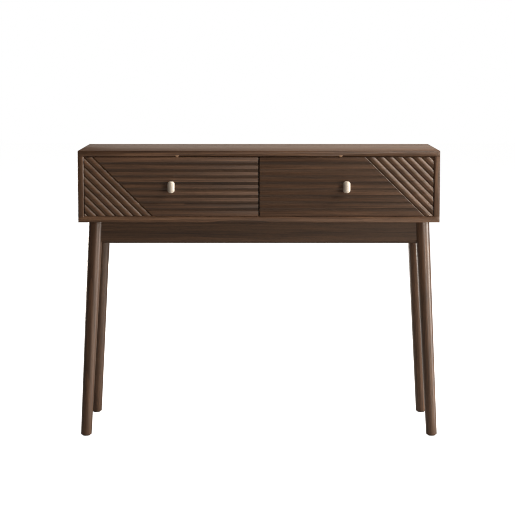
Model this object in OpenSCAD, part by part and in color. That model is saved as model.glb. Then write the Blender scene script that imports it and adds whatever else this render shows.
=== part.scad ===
// Console table with two drawers, in millimetres: floor at z = 0, front towards -Y.

/* [Table] */
// Width of the case, side to side
table_w = 1000; // [900:10:1200]
// Depth of the case, front to back
table_d = 350; // [330:10:420]
// Height of the top above the floor
table_h = 800; // [720:10:880]

/* [Case] */
// Height of the case that holds the drawers
case_h = 198; // [190:2:230]
// Thickness of the case panels
panel_t = 16; // [15:1:18]
// Chamfer around the front opening
opening_chamfer = 2; // [1:0.5:4]
// Thickness of the back panel
back_t = 5; // [4:1:6]
// Depth and width of the rebate that takes the back panel
rebate = [6, 8]; // [6:1:8]

/* [Frame] */
// Height of the aprons under the case
apron_h = 62; // [56:2:80]
// Thickness of the aprons
apron_t = 22; // [20:1:25]
// Distance from the case's outer face to the apron
apron_inset = 33; // [32:1:35]
// Chamfer along each apron's lower outer edge
apron_chamfer = 8; // [4:1:10]

/* [Legs] */
// Diameter of a leg at the case
leg_top_d = 40.5; // [38:0.5:44]
// Diameter of a leg at the floor
leg_foot_d = 30; // [26:1:32]
// Distance from the case's faces to a leg's axis, at the case
leg_top_inset = 45; // [43:1:48]
// Distance from the case's faces to a leg's axis, at the floor
leg_foot_inset = 15.2; // [14:0.2:30]
// Thickness of the glide under each leg
glide_t = 3; // [2:0.5:5]

/* [Drawers] */
// Gap around a drawer front inside the opening
front_gap = 2; // [1:0.5:3]
// Gap between the two drawer fronts
centre_gap = 4; // [2:0.5:6]
// Thickness of a drawer front
front_t = 18; // [16:1:20]
// Thickness of the drawer box's boards
box_t = 12; // [12:1:15]
// Height of the drawer box
box_h = 120; // [100:5:125]
// Thickness of the drawer bottom
bottom_t = 5; // [4:1:6]

/* [Reeds] */
// Spacing of the reeds, measured across them
reed_pitch = 18; // [14:1:24]
// Height of a reed above the grooves beside it
reed_depth = 4.5; // [3:0.5:5]
// Width of the reeded field along the drawer front's longer edge
reed_field_w = 186; // [120:2:220]
// Width of the bevel along the flat's edge where the reeds start
field_bevel_w = 2.5; // [1:0.5:3]
// Number of bands up the flat of a drawer front
band_n = 9; // [7:1:11]
// Width of the shallow grooves between the bands
groove_w = 9; // [2:1:10]
// Depth of the shallow grooves between the bands
groove_depth = 2; // [1:0.5:2.5]

/* [Knobs] */
// Width of a knob
knob_w = 20; // [16:1:26]
// Height of a knob
knob_h = 32; // [28:1:44]
// Corner radius of a knob's outline
knob_corner = 7.5; // [4:0.5:8]
// How far a knob stands out from the drawer front
knob_reach = 26; // [22:1:32]
// Diameter of the knob's neck
neck_d = 12; // [10:1:14]

/* [Hidden] */
$fn = 64;

WALNUT = "#5f4532";
WALNUT_DARK = "#4a3526";
BIRCH = "#cdb38a";
BEECH = "#d9b98c";
STEEL = "#aab0b5";
CREAM = "#f2ece1";
NYLON = "#8a8378";
LEFT = -1;
RIGHT = 1;
FRONT = -1;
REAR = 1;
// How far a cutting shape runs past the face it cuts
over = 1;
// Radial clearance of a screw or dowel in its hole
fit = 0.05;

// Case: the box, with its knobs, is centred on the origin
half_w = table_w / 2;
front_y = -(table_d - knob_reach) / 2;
back_y = front_y + table_d;
case_z = table_h - case_h;
open_z0 = case_z + panel_t;
open_z1 = table_h - panel_t;
inner_x = half_w - panel_t;
rebate_d = rebate[0];
rebate_w = rebate[1];
rebate_y = back_y - rebate_d;
divider_y = front_y + front_t + 2;
bay_w = inner_x - panel_t / 2;
bay_x = (inner_x + panel_t / 2) / 2;

// Dowels that join the case panels: diameter, and depth into the flat panel and into the standing one
dowel_d = 8;
dowel_in_flat = 11;
dowel_in_end = 19;
dowel_x = half_w - panel_t / 2;
dowel_ys = [front_y + 45, front_y + table_d / 2, back_y - 45];

// Screws: radius of the shank, radius and height of the head
screw_r = 1.75;
flat_head_r = 3;
flat_head_h = 1.2;
pan_head_r = 3.8;
pan_head_h = 2.2;
back_screw_l = 16;
back_screw_xs = [for (i = [-1.5 : 1 : 1.5]) i * table_w * 0.24];
back_screw_inset = (rebate_w + panel_t) / 2;

// Pads in the top panel's front edge, over each drawer
pad_x = bay_x - 20;
pad_w = [4, 12];
pad_h = 6;
pad_depth = 8;
pad_z = open_z1 - front_gap + 0.4;

// Legs: a straight cone whose axis leans outwards by the same amount to the side and to the front
leg_lean = leg_top_inset - leg_foot_inset;
leg_axis_l = norm([leg_lean, leg_lean, case_z]);
leg_tilt = acos(case_z / leg_axis_l);
leg_taper = (leg_top_d - leg_foot_d) / 2 / leg_axis_l;
leg_fit = 0.1;

// Corner blocks, and the bolts that draw the legs against the aprons
corner = apron_inset + apron_t;
block_cut = 10;
block_leg = 60;
block_h = 50;
bolt_z = case_z - apron_h / 2;
bolt_r = 4;
bolt_past_axis = 5;
bolt_inset = leg_top_inset - leg_lean * (case_z - bolt_z) / case_z;
bolt_to_block = (corner - bolt_inset) * sqrt(2) + block_leg / sqrt(2);
washer_r = 9;
washer_t = 1.6;
nut_w = 13;
nut_h = 6.5;
block_screw_u = 40;
block_screw_head = 8;
block_screw_in = 14;
block_screw_zs = [case_z - 10, case_z - block_h + 10];
glide_r = 11;
glide_nail_r = 1.5;
glide_nail_l = 16;

// Angle brackets between the aprons and the bottom panel
bracket_w = 20;
bracket_leg = 25;
bracket_t = 2;
bracket_hole = 16;
bracket_screw_l = 13;
bracket_x = table_w / 5;

// Ball-bearing slides, seen from the side they screw to
slide_t = 12.7;
slide_h = 35;
slide_l = table_d - 50;
slide_sheet = 1.2;
slide_y = divider_y;
slide_z = open_z0 + 12 + box_h / 2 - 5;
lip_h = 3;
channel_w = 10;
inner_rail_h = 24.6;
inner_rail_w = 9.5;
ball_r = 1.7;
ball_gap = 0.3;
ball_z = slide_h / 2 - slide_sheet - ball_gap - ball_r;
ball_x = 6;
cage_l = 70;
cage_sheet = 0.8;
cage_x = 1.7;
cage_w = 6.5;
ball_pitch = 12;
ball_count = 6;
rail_screw_l = 8;
bay_screw_ys = [35, slide_l / 2, slide_l - 35];
box_screw_ys = [20, slide_l / 2 - 30, slide_l - 20];

// Drawer box, in a frame whose x = 0 is the middle of the bay
box_w = bay_w - 2 * slide_t;
box_x = box_w / 2;
box_y0 = front_y + front_t;
box_y1 = box_y0 + slide_l;
box_z0 = open_z0 + 12;
box_z1 = box_z0 + box_h;
groove_d = 6;
bottom_z = box_z0 + 10;
bottom_fit = 0.15;
back_drop = 6;
box_dowel_d = 6;
box_dowel_in_side = 8;
box_dowel_in_end = 20;
box_dowel_zs = [box_z0 + 35, box_z1 - 25];

// Drawer fronts: the left one is drawn, and the right one is the same turned half a turn
front_x0 = -(inner_x - front_gap);
front_x1 = -centre_gap / 2;
front_z0 = open_z0 + front_gap;
front_z1 = open_z1 - front_gap;
front_cx = (front_x0 + front_x1) / 2;
front_cz = (front_z0 + front_z1) / 2;
front_screw_x = box_w / 2 - 45;
front_screw_z = 34;
front_screw_l = box_t + 12;

// Reeds: crests a little under the face, round tops, grooves where neighbours cross
reed_sink = 0.3;
reed_r = (pow(reed_pitch / 2, 2) + pow(reed_depth, 2)) / (2 * reed_depth);
reed_cut = reed_sink + reed_depth + 0.6;
front_h = front_z1 - front_z0;
reed_n = ceil(reed_field_w / sqrt(2) / reed_pitch) + 1;
reed_l = 2 * (front_h + reed_field_w);
band_h = front_h / band_n;
groove_run = 2;
groove_out = groove_w / 2 * (1 + over / groove_depth);

// Knob: a standing cylinder cut to a rounded outline, on a round neck
neck_l = 8;
knob_r = knob_w / 2;
knob_axis_y = front_y - knob_reach + knob_r;
knob_screw_r = 2;
knob_screw_in = 14;

// Box from its lowest to its highest corner
module block(lo, hi) {
    translate(lo) cube(hi - lo);
}

// Extrusion along X of an outline drawn in Y and Z
module along_x(x0, x1) {
    translate([x0, 0, 0]) rotate([90, 0, 90]) linear_extrude(x1 - x0) children();
}

// Extrusion along Y of an outline drawn in X and Z
module along_y(y0, y1) {
    translate([0, y1, 0]) rotate([90, 0, 0]) linear_extrude(y1 - y0) children();
}

// Puts its children at one corner of the case: x and y then run inwards from the case's two faces
module at_corner(side, end) {
    translate([side * half_w, end == FRONT ? front_y : back_y, 0])
        mirror([side == RIGHT ? 1 : 0, 0, 0]) mirror([0, end == REAR ? 1 : 0, 0]) children();
}

module at_corners() {
    for (side = [LEFT, RIGHT]) for (end = [FRONT, REAR]) at_corner(side, end) children();
}

// Puts its children in the middle of one drawer's bay
module at_bay(side) {
    translate([side * bay_x, 0, 0]) children();
}

// Puts its children on both walls of a bay: x then runs from the wall towards the drawer
module at_slides() {
    for (side = [LEFT, RIGHT])
        translate([side * bay_w / 2, slide_y, slide_z]) mirror([side == RIGHT ? 1 : 0, 0, 0]) children();
}

// Puts its children where each angle bracket's bend is: y then runs inwards from the apron
module at_brackets() {
    for (x = [-bracket_x, bracket_x]) {
        translate([x, front_y + corner, case_z]) children();
        translate([x, back_y - corner, case_z]) rotate([0, 0, 180]) children();
    }
    translate([-half_w + corner, front_y + table_d / 2, case_z]) rotate([0, 0, -90]) children();
    translate([half_w - corner, front_y + table_d / 2, case_z]) rotate([0, 0, 90]) children();
}

// Screw with a flush countersunk head, driven along +Z from z = 0; grow makes the hole it sits in
module flat_screw(l, grow = 0) {
    rotate_extrude() polygon([[0, -grow], [flat_head_r + grow, -grow], [flat_head_r + grow, 0],
        [screw_r + grow, flat_head_h], [screw_r + grow, l + grow], [0, l + grow]]);
}

// Screw with a low rounded head standing above z = 0, driven along +Z
module pan_screw(l, r = screw_r) {
    rotate_extrude() polygon([[0, -pan_head_h], [pan_head_r * 0.6, -pan_head_h],
        [pan_head_r, -pan_head_h * 0.4], [pan_head_r, 0], [r, 0], [r, l], [0, l]]);
}

// Standing pin from z0 to z1
module pin(r, z0, z1) {
    translate([0, 0, z0]) cylinder(h = z1 - z0, r = r);
}

// The space that the chamfer takes away all round the front opening, with mitred corners
module opening_bezel() {
    c = opening_chamfer;
    y0 = front_y - over;
    y1 = front_y + c;
    grow = c + over;
    intersection() {
        along_x(-half_w, half_w)
            polygon([[y0, open_z0 - grow], [y1, open_z0], [y1, open_z1], [y0, open_z1 + grow]]);
        translate([0, 0, case_z]) linear_extrude(case_h)
            polygon([[-inner_x - grow, y0], [inner_x + grow, y0], [inner_x, y1], [-inner_x, y1]]);
    }
}

// The space for the back panel, let into the rear edges of the case
module back_rebate() {
    block([-half_w + rebate_w, rebate_y, case_z + rebate_w],
        [half_w - rebate_w, back_y + over, table_h - rebate_w]);
}

// All the dowels of the case, or their holes
module dowels_of_case(grow = 0) {
    r = dowel_d / 2 + grow;
    for (x = [-dowel_x, dowel_x]) for (y = dowel_ys) translate([x, y, 0]) {
        pin(r, open_z1 - dowel_in_end - grow, open_z1 + dowel_in_flat + grow);
        pin(r, open_z0 - dowel_in_flat - grow, open_z0 + dowel_in_end + grow);
    }
    for (y = [dowel_ys[0] + 20, dowel_ys[2] - 20]) translate([0, y, 0]) {
        pin(r, open_z1 - dowel_in_end - grow, open_z1 + dowel_in_flat + grow);
        pin(r, open_z0 - dowel_in_flat - grow, open_z0 + dowel_in_end + grow);
    }
}

// The back panel's screws, or their holes
module screws_of_back(grow = 0) {
    head_y = rebate_y + back_t;
    for (x = back_screw_xs) for (z = [case_z + back_screw_inset, table_h - back_screw_inset])
        translate([x, head_y, z]) rotate([90, 0, 0]) flat_screw(back_screw_l, grow);
    for (x = [-half_w + back_screw_inset, half_w - back_screw_inset])
        translate([x, head_y, (case_z + table_h) / 2]) rotate([90, 0, 0]) flat_screw(back_screw_l, grow);
}

// One wedge-shaped pad, narrow side down, or the notch it is pressed into
module pad(grow = 0) {
    along_y(front_y - (grow > 0 ? over : 0), front_y + pad_depth + grow)
        polygon([[-pad_w[0] / 2 - grow, pad_z], [pad_w[0] / 2 + grow, pad_z],
            [pad_w[1] / 2 + grow, pad_z + pad_h + grow], [-pad_w[1] / 2 - grow, pad_z + pad_h + grow]]);
}

// Pilot holes of every screw that goes into a case panel from a slide
module bay_rail_holes() {
    for (side = [LEFT, RIGHT]) at_bay(side) at_slides() bay_rail_screw_set(fit);
}

module bay_rail_screw_set(grow = 0) {
    for (y = bay_screw_ys) translate([slide_sheet, y, 0]) rotate([0, -90, 0]) flat_screw(rail_screw_l, grow);
}

module top_panel() {
    color(WALNUT) difference() {
        block([-half_w, front_y, open_z1], [half_w, back_y, table_h]);
        opening_bezel();
        back_rebate();
        dowels_of_case(fit);
        screws_of_back(fit);
        for (side = [LEFT, RIGHT]) translate([side * pad_x, 0, 0]) pad(fit);
    }
}

module bottom_panel() {
    color(WALNUT) difference() {
        block([-half_w, front_y, case_z], [half_w, back_y, open_z0]);
        opening_bezel();
        back_rebate();
        dowels_of_case(fit);
        screws_of_back(fit);
        bracket_screw_set(fit);
    }
}

module side_panel(side) {
    color(WALNUT) difference() {
        translate([side * dowel_x, 0, 0])
            block([-panel_t / 2, front_y, open_z0], [panel_t / 2, back_y, open_z1]);
        opening_bezel();
        back_rebate();
        dowels_of_case(fit);
        screws_of_back(fit);
        bay_rail_holes();
    }
}

module left_side_panel() {
    side_panel(LEFT);
}

module right_side_panel() {
    side_panel(RIGHT);
}

module centre_divider() {
    color(WALNUT_DARK) difference() {
        block([-panel_t / 2, divider_y, open_z0], [panel_t / 2, rebate_y, open_z1]);
        dowels_of_case(fit);
        bay_rail_holes();
    }
}

module back_panel() {
    gap = 0.3;
    color(WALNUT_DARK) difference() {
        block([-half_w + rebate_w + gap, rebate_y, case_z + rebate_w + gap],
            [half_w - rebate_w - gap, rebate_y + back_t, table_h - rebate_w - gap]);
        screws_of_back(fit);
    }
}

module back_panel_screws() {
    color(STEEL) screws_of_back();
}

module carcass_dowels() {
    color(BEECH) dowels_of_case();
}

module kicker_pads() {
    color(BEECH) for (side = [LEFT, RIGHT]) translate([side * pad_x, 0, 0]) pad();
}

// One leg's full cone, from below the floor to above the case's underside, in its corner's frame
module leg_cone(grow = 0) {
    ext = 12;
    translate([leg_foot_inset, leg_foot_inset, 0]) rotate([0, leg_tilt, 45]) translate([0, 0, -ext])
        cylinder(h = leg_axis_l + 2 * ext, r1 = leg_foot_d / 2 - leg_taper * ext + grow,
            r2 = leg_top_d / 2 + leg_taper * ext + grow);
}

// Children are drawn along the bolt, from the leg's axis at z = 0 towards the middle of the table
module along_bolt() {
    translate([bolt_inset, bolt_inset, bolt_z]) rotate([0, 90, 45]) children();
}

module leg() {
    color(WALNUT) difference() {
        intersection() {
            leg_cone();
            block([-leg_top_d, -leg_top_d, glide_t], [3 * leg_top_d, 3 * leg_top_d, case_z]);
        }
        along_bolt() pin(bolt_r + fit, -bolt_past_axis - over, leg_top_d);
        translate([leg_foot_inset, leg_foot_inset, 0]) pin(glide_nail_r + fit, 0, glide_nail_l + over);
    }
}

module front_left_leg() {
    at_corner(LEFT, FRONT) leg();
}

module front_right_leg() {
    at_corner(RIGHT, FRONT) leg();
}

module rear_left_leg() {
    at_corner(LEFT, REAR) leg();
}

module rear_right_leg() {
    at_corner(RIGHT, REAR) leg();
}

// Disc with a rounded lower edge and a nail, standing flat on the floor
module leg_glides() {
    edge = glide_t / 2;
    color(NYLON) at_corners() translate([leg_foot_inset, leg_foot_inset, 0]) rotate_extrude()
        polygon(concat([[0, 0], [glide_r - edge, 0]],
            [for (a = [30 : 30 : 90]) [glide_r - edge + edge * sin(a), edge - edge * cos(a)]],
            [[glide_r, glide_t], [glide_nail_r, glide_t], [glide_nail_r, glide_nail_l], [0, glide_nail_l]]));
}

// Section of an apron: outer face at 0, top at the case, lower outer edge chamfered
module apron_section() {
    polygon([[0, case_z], [0, case_z - apron_h + apron_chamfer], [apron_chamfer, case_z - apron_h],
        [apron_t, case_z - apron_h], [apron_t, case_z]]);
}

// An apron's section run between two legs, with its ends shaped to their cones
module apron() {
    color(WALNUT) difference() {
        children();
        at_corners() leg_cone(leg_fit);
        at_corners() block_screw_set(fit);
        bracket_screw_set(fit);
    }
}

module front_apron() {
    apron() along_x(-half_w + leg_top_inset, half_w - leg_top_inset)
        translate([front_y + apron_inset, 0]) apron_section();
}

module rear_apron() {
    apron() along_x(-half_w + leg_top_inset, half_w - leg_top_inset)
        translate([back_y - apron_inset, 0]) mirror([1, 0]) apron_section();
}

module left_apron() {
    apron() along_y(front_y + leg_top_inset, back_y - leg_top_inset)
        translate([-half_w + apron_inset, 0]) apron_section();
}

module right_apron() {
    apron() along_y(front_y + leg_top_inset, back_y - leg_top_inset)
        translate([half_w - apron_inset, 0]) mirror([1, 0]) apron_section();
}

// One corner's block screws, two into each apron, in the corner's frame
module block_screw_set(grow = 0) {
    l = block_screw_head + block_screw_in;
    for (z = block_screw_zs) {
        translate([corner + block_screw_u, corner + block_screw_head, z]) rotate([90, 0, 0])
            pan_screw(l + grow, screw_r + grow);
        translate([corner + block_screw_head, corner + block_screw_u, z]) rotate([0, -90, 0])
            pan_screw(l + grow, screw_r + grow);
    }
}

module corner_block() {
    recess_r = pan_head_r + 0.7;
    difference() {
        translate([corner, corner, case_z - block_h]) linear_extrude(block_h)
            polygon([[block_cut, 0], [block_leg, 0], [0, block_leg], [0, block_cut]]);
        along_bolt() pin(bolt_r + 0.5, 0, bolt_to_block + over);
        block_screw_set(fit);
        for (z = block_screw_zs) {
            translate([corner + block_screw_u, corner + block_screw_head, z]) rotate([-90, 0, 0])
                pin(recess_r, 0, block_leg);
            translate([corner + block_screw_head, corner + block_screw_u, z]) rotate([0, 90, 0])
                pin(recess_r, 0, block_leg);
        }
    }
}

module corner_blocks() {
    color(BIRCH) at_corners() corner_block();
}

module corner_block_screws() {
    color(STEEL) at_corners() block_screw_set();
}

module hanger_bolts() {
    color(STEEL) at_corners() along_bolt()
        pin(bolt_r, -bolt_past_axis, bolt_to_block + washer_t + nut_h + 5);
}

module hanger_washers() {
    color(STEEL) at_corners() along_bolt() difference() {
        pin(washer_r, bolt_to_block, bolt_to_block + washer_t);
        pin(bolt_r + 0.2, bolt_to_block - over, bolt_to_block + washer_t + over);
    }
}

module hanger_nuts() {
    z = bolt_to_block + washer_t;
    color(STEEL) at_corners() along_bolt() difference() {
        translate([0, 0, z]) cylinder(h = nut_h, r = nut_w / 2 / cos(30), $fn = 6);
        pin(bolt_r + fit, z - over, z + nut_h + over);
    }
}

module angle_bracket() {
    difference() {
        union() {
            block([-bracket_w / 2, 0, -bracket_t], [bracket_w / 2, bracket_leg, 0]);
            block([-bracket_w / 2, 0, -bracket_leg], [bracket_w / 2, bracket_t, 0]);
        }
        translate([0, bracket_hole, 0]) pin(screw_r + 0.4, -bracket_t - over, over);
        translate([0, 0, -bracket_hole]) rotate([-90, 0, 0]) pin(screw_r + 0.4, -over, bracket_t + over);
    }
}

module angle_brackets() {
    color(STEEL) at_brackets() angle_bracket();
}

module bracket_screw_set(grow = 0) {
    at_brackets() {
        translate([0, bracket_hole, -bracket_t]) pan_screw(bracket_screw_l + grow, screw_r + grow);
        translate([0, bracket_t, -bracket_hole]) rotate([90, 0, 0])
            pan_screw(bracket_screw_l + grow, screw_r + grow);
    }
}

module bracket_screws() {
    color(STEEL) bracket_screw_set();
}

// Channel screwed to the case: flat web, two flanges, and a lip on each flange
module outer_rail() {
    h = slide_h / 2;
    s = slide_sheet;
    w = channel_w;
    difference() {
        along_y(0, slide_l) polygon([[0, -h], [w, -h], [w, lip_h - h], [w - s, lip_h - h], [w - s, s - h],
            [s, s - h], [s, h - s], [w - s, h - s], [w - s, h - lip_h], [w, h - lip_h], [w, h], [0, h]]);
        bay_rail_screw_set(fit);
    }
}

// Narrower channel screwed to the drawer, its flanges between the two rows of balls
module inner_rail() {
    h = inner_rail_h / 2;
    s = slide_sheet;
    x0 = slide_t - inner_rail_w;
    difference() {
        along_y(0, slide_l) polygon([[x0, -h], [slide_t, -h], [slide_t, h], [x0, h], [x0, h - s],
            [slide_t - s, h - s], [slide_t - s, s - h], [x0, s - h]]);
        box_rail_screw_set(fit);
    }
}

module box_rail_screw_set(grow = 0) {
    for (y = box_screw_ys)
        translate([slide_t - slide_sheet, y, 0]) rotate([0, 90, 0]) flat_screw(rail_screw_l, grow);
}

// Thin strip that carries two rows of balls along the middle of the slide
module ball_cage() {
    h = ball_z + cage_sheet / 2;
    s = cage_sheet;
    x0 = cage_x;
    x1 = cage_x + cage_w;
    y0 = (slide_l - cage_l) / 2;
    along_y(y0, y0 + cage_l)
        polygon([[x0, -h], [x1, -h], [x1, s - h], [x0 + s, s - h], [x0 + s, h - s], [x1, h - s], [x1, h],
            [x0, h]]);
    for (i = [0 : ball_count - 1]) for (side = [-1, 1])
        translate([ball_x, slide_l / 2 + (i - (ball_count - 1) / 2) * ball_pitch, side * ball_z])
            sphere(r = ball_r);
}

module left_bay_rails() {
    color(STEEL) at_bay(LEFT) at_slides() outer_rail();
}

module right_bay_rails() {
    color(STEEL) at_bay(RIGHT) at_slides() outer_rail();
}

module bay_rail_screws() {
    color(STEEL) for (side = [LEFT, RIGHT]) at_bay(side) at_slides() bay_rail_screw_set();
}

// Screws that hold the inner front to the drawer front, driven forwards from inside the drawer
module front_screw_set(grow = 0) {
    for (x = [-front_screw_x, front_screw_x]) for (z = [-front_screw_z, front_screw_z])
        translate([x, box_y0 + box_t, front_cz + z]) rotate([90, 0, 0]) flat_screw(front_screw_l, grow);
}

// The knob's screw, or its hole, in the left drawer's place
module knob_screw_shape(grow = 0) {
    l = box_t + front_t + knob_screw_in;
    translate([front_cx, box_y0 + box_t, front_cz]) rotate([90, 0, 0])
        pan_screw(l + grow, knob_screw_r + grow);
}

// Turns what is drawn for the left drawer into the right drawer's, half a turn about the front's normal
module for_drawer(side) {
    if (side == LEFT) children();
    else translate([0, 0, 2 * front_cz]) rotate([0, 180, 0]) children();
}

// The reeded field: everything outwards of a 45 degree line that starts on the longer edge
module reed_field() {
    x1 = front_x0 + reed_field_w;
    along_y(front_y - over, front_y + reed_cut)
        polygon([[front_x0 - over, front_z0 - over], [x1 + over, front_z0 - over],
            [x1 - front_h - over, front_z1 + over], [front_x0 - over, front_z1 + over]]);
}

// The round bars whose tops are the reeds, side by side from the field's edge towards the corner
module reed_bars() {
    translate([front_x0 + reed_field_w, front_y + reed_sink + reed_r, front_z0]) rotate([0, 45, 0])
        for (i = [0.5 : 1 : reed_n])
            translate([-reed_l / 2, 0, -i * reed_pitch]) rotate([0, 90, 0]) cylinder(h = reed_l, r = reed_r);
}

// Bevel along the 45 degree line, on the side of the flat
module field_bevel() {
    translate([front_x0 + reed_field_w, front_y, front_z0]) rotate([0, 45, 0])
        along_x(-reed_l / 2, reed_l / 2)
            polygon([[-over, 0], [field_bevel_w, 0], [-over, field_bevel_w + over]]);
}

// Shallow level grooves between bands of equal height, each from the reeded field to the front's inner end
module band_grooves() {
    for (i = [1 : band_n - 1])
        along_x(front_x0 + reed_field_w - i * band_h - groove_run, front_x1 + over)
            polygon([[front_y - over, front_z0 + i * band_h - groove_out],
                [front_y + groove_depth, front_z0 + i * band_h],
                [front_y - over, front_z0 + i * band_h + groove_out]]);
}

module drawer_front(side) {
    color(WALNUT) for_drawer(side) difference() {
        block([front_x0, front_y, front_z0], [front_x1, box_y0, front_z1]);
        difference() {
            reed_field();
            reed_bars();
        }
        field_bevel();
        band_grooves();
        at_bay(LEFT) front_screw_set(fit);
        knob_screw_shape(fit);
    }
}

// Standing cylinder with a flat back, cut to an upright outline with rounded corners
module knob(side) {
    x = knob_w / 2 - knob_corner;
    z = knob_h / 2 - knob_corner;
    back = front_y - neck_l;
    color(CREAM) for_drawer(side) translate([front_cx, 0, front_cz]) difference() {
        union() {
            intersection() {
                along_y(front_y - knob_reach - over, back) union() {
                    square([2 * x, knob_h], center = true);
                    square([knob_w, 2 * z], center = true);
                    for (i = [-1, 1]) for (j = [-1, 1]) translate([i * x, j * z]) circle(r = knob_corner);
                }
                translate([0, knob_axis_y, 0]) pin(knob_r, -knob_h, knob_h);
            }
            rotate([90, 0, 0]) pin(neck_d / 2, -front_y, -back + over);
        }
        translate([-front_cx, 0, -front_cz]) knob_screw_shape(fit);
    }
}

module inner_front(side) {
    color(BIRCH) difference() {
        at_bay(side) block([-box_x + box_t, box_y0, box_z0], [box_x - box_t, box_y0 + box_t, box_z1]);
        at_bay(side) bottom_space();
        at_bay(side) dowels_of_box(fit);
        at_bay(side) front_screw_set(fit);
        for_drawer(side) knob_screw_shape(fit);
    }
}

// A drawer side on one wall of its bay
module drawer_side(side, wall) {
    x0 = wall == LEFT ? -box_x : box_x - box_t;
    color(BIRCH) at_bay(side) difference() {
        block([x0, box_y0, box_z0], [x0 + box_t, box_y1, box_z1]);
        bottom_space();
        dowels_of_box(fit);
        at_slides() box_rail_screw_set(fit);
    }
}

module drawer_back(side) {
    color(BIRCH) at_bay(side) difference() {
        block([-box_x + box_t, box_y1 - box_t, bottom_z + bottom_t + bottom_fit],
            [box_x - box_t, box_y1, box_z1 - back_drop]);
        dowels_of_box(fit);
    }
}

// The bottom's groove in the sides and the inner front
module bottom_space() {
    g = bottom_fit;
    x = box_x - box_t + groove_d + g;
    block([-x, box_y0 + box_t - groove_d - g, bottom_z - g], [x, box_y1 + over, bottom_z + bottom_t + g]);
}

module drawer_bottom(side) {
    x = box_x - box_t + groove_d;
    color(BIRCH) at_bay(side)
        block([-x, box_y0 + box_t - groove_d, bottom_z], [x, box_y1, bottom_z + bottom_t]);
}

// The drawer box's dowels, two at each corner, or their holes
module dowels_of_box(grow = 0) {
    x0 = box_x - box_t - box_dowel_in_end - grow;
    x1 = box_x - box_t + box_dowel_in_side + grow;
    for (y = [box_y0 + box_t / 2, box_y1 - box_t / 2]) for (z = box_dowel_zs) translate([0, y, z]) {
        rotate([0, 90, 0]) pin(box_dowel_d / 2 + grow, x0, x1);
        rotate([0, -90, 0]) pin(box_dowel_d / 2 + grow, x0, x1);
    }
}

module left_drawer_front() {
    drawer_front(LEFT);
}

module left_drawer_inner_front() {
    inner_front(LEFT);
}

module left_drawer_outer_side() {
    drawer_side(LEFT, LEFT);
}

module left_drawer_inner_side() {
    drawer_side(LEFT, RIGHT);
}

module left_drawer_back() {
    drawer_back(LEFT);
}

module left_drawer_bottom() {
    drawer_bottom(LEFT);
}

module left_drawer_dowels() {
    color(BEECH) at_bay(LEFT) dowels_of_box();
}

module left_drawer_knob() {
    knob(LEFT);
}

module left_knob_screw() {
    color(STEEL) for_drawer(LEFT) knob_screw_shape();
}

module left_front_screws() {
    color(STEEL) at_bay(LEFT) front_screw_set();
}

module left_drawer_rails() {
    color(STEEL) at_bay(LEFT) at_slides() inner_rail();
}

module left_drawer_rail_screws() {
    color(STEEL) at_bay(LEFT) at_slides() box_rail_screw_set();
}

module left_ball_cages() {
    color(STEEL) at_bay(LEFT) at_slides() ball_cage();
}

module right_drawer_front() {
    drawer_front(RIGHT);
}

module right_drawer_inner_front() {
    inner_front(RIGHT);
}

module right_drawer_outer_side() {
    drawer_side(RIGHT, RIGHT);
}

module right_drawer_inner_side() {
    drawer_side(RIGHT, LEFT);
}

module right_drawer_back() {
    drawer_back(RIGHT);
}

module right_drawer_bottom() {
    drawer_bottom(RIGHT);
}

module right_drawer_dowels() {
    color(BEECH) at_bay(RIGHT) dowels_of_box();
}

module right_drawer_knob() {
    knob(RIGHT);
}

module right_knob_screw() {
    color(STEEL) for_drawer(RIGHT) knob_screw_shape();
}

module right_front_screws() {
    color(STEEL) at_bay(RIGHT) front_screw_set();
}

module right_drawer_rails() {
    color(STEEL) at_bay(RIGHT) at_slides() inner_rail();
}

module right_drawer_rail_screws() {
    color(STEEL) at_bay(RIGHT) at_slides() box_rail_screw_set();
}

module right_ball_cages() {
    color(STEEL) at_bay(RIGHT) at_slides() ball_cage();
}

top_panel();
bottom_panel();
left_side_panel();
right_side_panel();
centre_divider();
back_panel();
back_panel_screws();
carcass_dowels();
kicker_pads();
front_apron();
rear_apron();
left_apron();
right_apron();
front_left_leg();
front_right_leg();
rear_left_leg();
rear_right_leg();
leg_glides();
corner_blocks();
corner_block_screws();
hanger_bolts();
hanger_washers();
hanger_nuts();
angle_brackets();
bracket_screws();
left_bay_rails();
right_bay_rails();
bay_rail_screws();
left_drawer_front();
left_drawer_inner_front();
left_drawer_outer_side();
left_drawer_inner_side();
left_drawer_back();
left_drawer_bottom();
left_drawer_dowels();
left_drawer_knob();
left_knob_screw();
left_front_screws();
left_drawer_rails();
left_drawer_rail_screws();
left_ball_cages();
right_drawer_front();
right_drawer_inner_front();
right_drawer_outer_side();
right_drawer_inner_side();
right_drawer_back();
right_drawer_bottom();
right_drawer_dowels();
right_drawer_knob();
right_knob_screw();
right_front_screws();
right_drawer_rails();
right_drawer_rail_screws();
right_ball_cages();
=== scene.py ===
import math
import bmesh
import bpy
from mathutils import Matrix, Vector


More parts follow.
